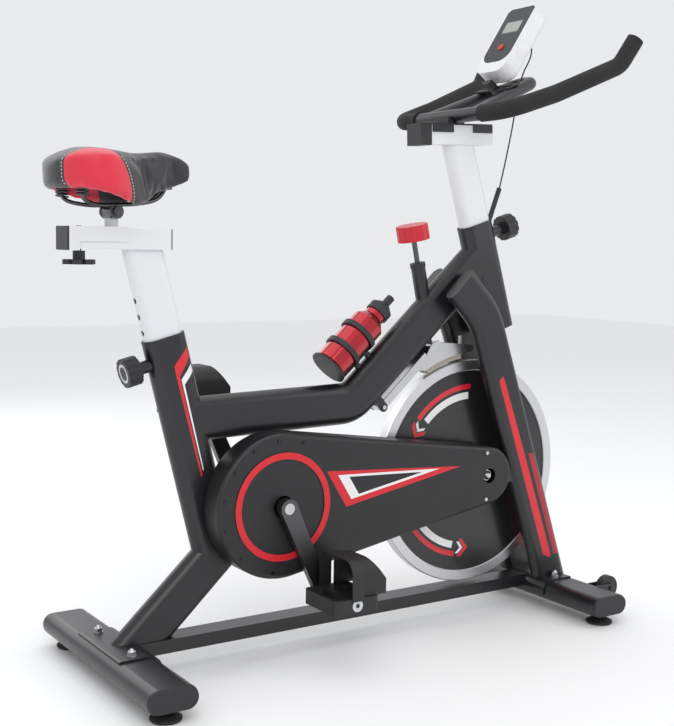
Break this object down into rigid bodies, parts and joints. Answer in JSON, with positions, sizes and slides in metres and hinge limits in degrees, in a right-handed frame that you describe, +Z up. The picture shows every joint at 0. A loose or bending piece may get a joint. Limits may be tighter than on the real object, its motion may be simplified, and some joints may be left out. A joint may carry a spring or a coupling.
{
  "type": "indoor spin bike",
  "caption": "Belt-driven indoor cycling bike with a solid flywheel, felt brake, sprung saddle on a sliding post, height-set handlebar with monitor, bottle in a cage and levelling feet.",
  "frame": {"origin": "on the floor, under the middle of the overall box", "axes": "+X the way the rider faces, +Y the rider's left, +Z up"},
  "size_m": [1.159, 0.46, 1.2235],
  "materials": {
    "frame_black": "gloss black powder coat",
    "bar_black": "gloss black powder coat",
    "fly_paint": "satin black paint, bright machined rim",
    "steel": "satin",
    "post_white": "satin white paint",
    "black_plastic": "fine texture",
    "cover_black": "semi-gloss moulded",
    "rubber": "matt",
    "foam": "fine foam",
    "saddle_skin": "black synthetic leather with red panels and white stitching",
    "felt": "felt brake pad",
    "white_case": "smooth white",
    "red_plastic": "smooth",
    "bottle_red": "metallic red lacquer"
  },
  "bodies": {
    "frame": {"stabilizers": "bar_black", "stabilizer_end_caps": "black_plastic", "base_rail": "frame_black", "rear_strut": "frame_black", "seat_tube": "frame_black", "main_tube": "frame_black", "head_tube": "frame_black", "fork_leg_right": "frame_black", "fork_leg_left": "frame_black", "bottom_bracket": "frame_black", "bottom_bracket_bearings": "steel", "cover_inner": "cover_black", "cover_outer": "cover_black", "drive_belt": "rubber", "flywheel_axle": "steel", "frame_fasteners": "steel", "post_bushings": "black_plastic", "tension_collar": "black_plastic", "bottle_cage": "black_plastic", "monitor_cable": "rubber", "cable_sleeve": "rubber"},
    "flywheel_set": {"flywheel": "fly_paint", "flywheel_bearings": "steel", "pulley_small": "steel"},
    "crankset": {"crank_axle": "steel", "pulley_large": "black_plastic", "crank_arms": "steel", "pedal_spindles": "steel"},
    "right_pedal": {"pedal_right": "black_plastic", "toe_cage_right": "black_plastic"},
    "left_pedal": {"pedal_left": "black_plastic", "toe_cage_left": "black_plastic"},
    "seat_post_set": {"seat_post": "post_white", "slider_end_caps": "black_plastic"},
    "carriage": {"seat_carriage": "post_white", "saddle_clamp": "steel"},
    "saddle": {"saddle_pad": "saddle_skin", "saddle_base": "black_plastic", "saddle_rails": "steel"},
    "slider_knob": {"seat_slider_knob": "black_plastic"},
    "seat_pull_knob": {"seat_post_knob": "black_plastic"},
    "bar_pull_knob": {"handlebar_knob": "black_plastic"},
    "handlebar_set": {"handlebar_post": "post_white", "handlebar_brackets": "black_plastic", "handlebar": "frame_black", "grip_foams": "foam", "monitor_case": "white_case"},
    "monitor_key": {"monitor_button": "red_plastic"},
    "brake_rod": {"push_rod": "steel"},
    "brake_knob": {"tension_knob": "red_plastic"},
    "brake_lever": {"brake_arm": "steel", "brake_pad": "felt"},
    "bottle_set": {"bottle": "bottle_red", "bottle_cap": "black_plastic"},
    "right_wheel": {"transport_wheel_right": "black_plastic"},
    "left_wheel": {"transport_wheel_left": "black_plastic"},
    "rear_right_foot": {"foot_rear_right": "rubber"},
    "rear_left_foot": {"foot_rear_left": "rubber"},
    "front_right_foot": {"foot_front_right": "rubber"},
    "front_left_foot": {"foot_front_left": "rubber"}
  },
  "joints": [
    {"name": "flywheel_spin", "type": "hinge", "parent": "frame", "child": "flywheel_set", "pos_m": [0.2965, 0, 0.293], "axis": [0, 1, 0], "continuous": true},
    {"name": "crank_spin", "type": "hinge", "parent": "frame", "child": "crankset", "pos_m": [-0.1775, 0, 0.282], "axis": [0, 1, 0], "continuous": true},
    {"name": "right_pedal_spin", "type": "hinge", "parent": "crankset", "child": "right_pedal", "pos_m": [-0.10673, -0.155, 0.12743], "axis": [0, 1, 0], "continuous": true},
    {"name": "left_pedal_spin", "type": "hinge", "parent": "crankset", "child": "left_pedal", "pos_m": [-0.24827, 0.155, 0.43657], "axis": [0, 1, 0], "continuous": true},
    {"name": "seat_height", "type": "slide", "parent": "frame", "child": "seat_post_set", "axis": [-0.2504, 0, 0.9681], "range_m": [-0.1, 0.09]},
    {"name": "seat_fore_aft", "type": "slide", "parent": "seat_post_set", "child": "carriage", "axis": [1, 0, 0], "range_m": [0, 0.033]},
    {"name": "saddle_tilt", "type": "hinge", "parent": "carriage", "child": "saddle", "pos_m": [-0.4685, 0, 0.79], "axis": [0, 1, 0], "range_deg": [-10, 10]},
    {"name": "slider_knob_turn", "type": "hinge", "parent": "carriage", "child": "slider_knob", "pos_m": [-0.5245, 0, 0.715], "axis": [0, 0, 1], "range_deg": [-180, 180]},
    {"name": "seat_knob_pull", "type": "slide", "parent": "frame", "child": "seat_pull_knob", "axis": [-0.9681, 0, -0.2504], "range_m": [0, 0.012], "stiffness_N_per_m": 900, "springref_m": -0.004},
    {"name": "bar_knob_pull", "type": "slide", "parent": "frame", "child": "bar_pull_knob", "axis": [0.9553, 0, 0.2957], "range_m": [0, 0.012], "stiffness_N_per_m": 900, "springref_m": -0.004},
    {"name": "handlebar_height", "type": "slide", "parent": "frame", "child": "handlebar_set", "axis": [-0.2957, 0, 0.9553], "range_m": [-0.09, 0.05], "deforming": ["monitor_cable"]},
    {"name": "monitor_key_press", "type": "slide", "parent": "handlebar_set", "child": "monitor_key", "axis": [0.8367, 0, -0.5477], "range_m": [0, 0.0015], "stiffness_N_per_m": 400, "springref_m": -0.0005},
    {"name": "brake_press", "type": "slide", "parent": "frame", "child": "brake_rod", "axis": [0.2164, 0, -0.9763], "range_m": [0, 0.0035], "stiffness_N_per_m": 2500, "springref_m": -0.003},
    {"name": "brake_knob_turn", "type": "hinge", "parent": "brake_rod", "child": "brake_knob", "pos_m": [0.1488, 0, 0.7674], "axis": [0.2164, 0, -0.9763], "range_deg": [-720, 1080]},
    {"name": "brake_swing", "type": "hinge", "parent": "frame", "child": "brake_lever", "pos_m": [0.0765, 0, 0.436], "axis": [0, 1, 0], "range_deg": [0, 1.5]},
    {"name": "bottle_out", "type": "slide", "parent": "frame", "child": "bottle_set", "axis": [0.7408, 0, 0.6717], "range_m": [0, 0.05]},
    {"name": "right_wheel_spin", "type": "hinge", "parent": "frame", "child": "right_wheel", "pos_m": [0.5555, -0.15, 0.05], "axis": [0, 1, 0], "continuous": true},
    {"name": "left_wheel_spin", "type": "hinge", "parent": "frame", "child": "left_wheel", "pos_m": [0.5555, 0.15, 0.05], "axis": [0, 1, 0], "continuous": true},
    {"name": "rear_right_foot_screw", "type": "slide", "parent": "frame", "child": "rear_right_foot", "axis": [0, 0, -1], "range_m": [0, 0.012]},
    {"name": "front_right_foot_screw", "type": "slide", "parent": "frame", "child": "front_right_foot", "axis": [0, 0, -1], "range_m": [0, 0.012]},
    {"name": "rear_left_foot_screw", "type": "slide", "parent": "frame", "child": "rear_left_foot", "axis": [0, 0, -1], "range_m": [0, 0.012]},
    {"name": "front_left_foot_screw", "type": "slide", "parent": "frame", "child": "front_left_foot", "axis": [0, 0, -1], "range_m": [0, 0.012]}
  ],
  "couplings": [
    {"joint": "crank_spin", "follows": "flywheel_spin", "ratio": 0.3125},
    {"joint": "brake_swing", "follows": "brake_press", "rad_per_m": 7.03}
  ]
}
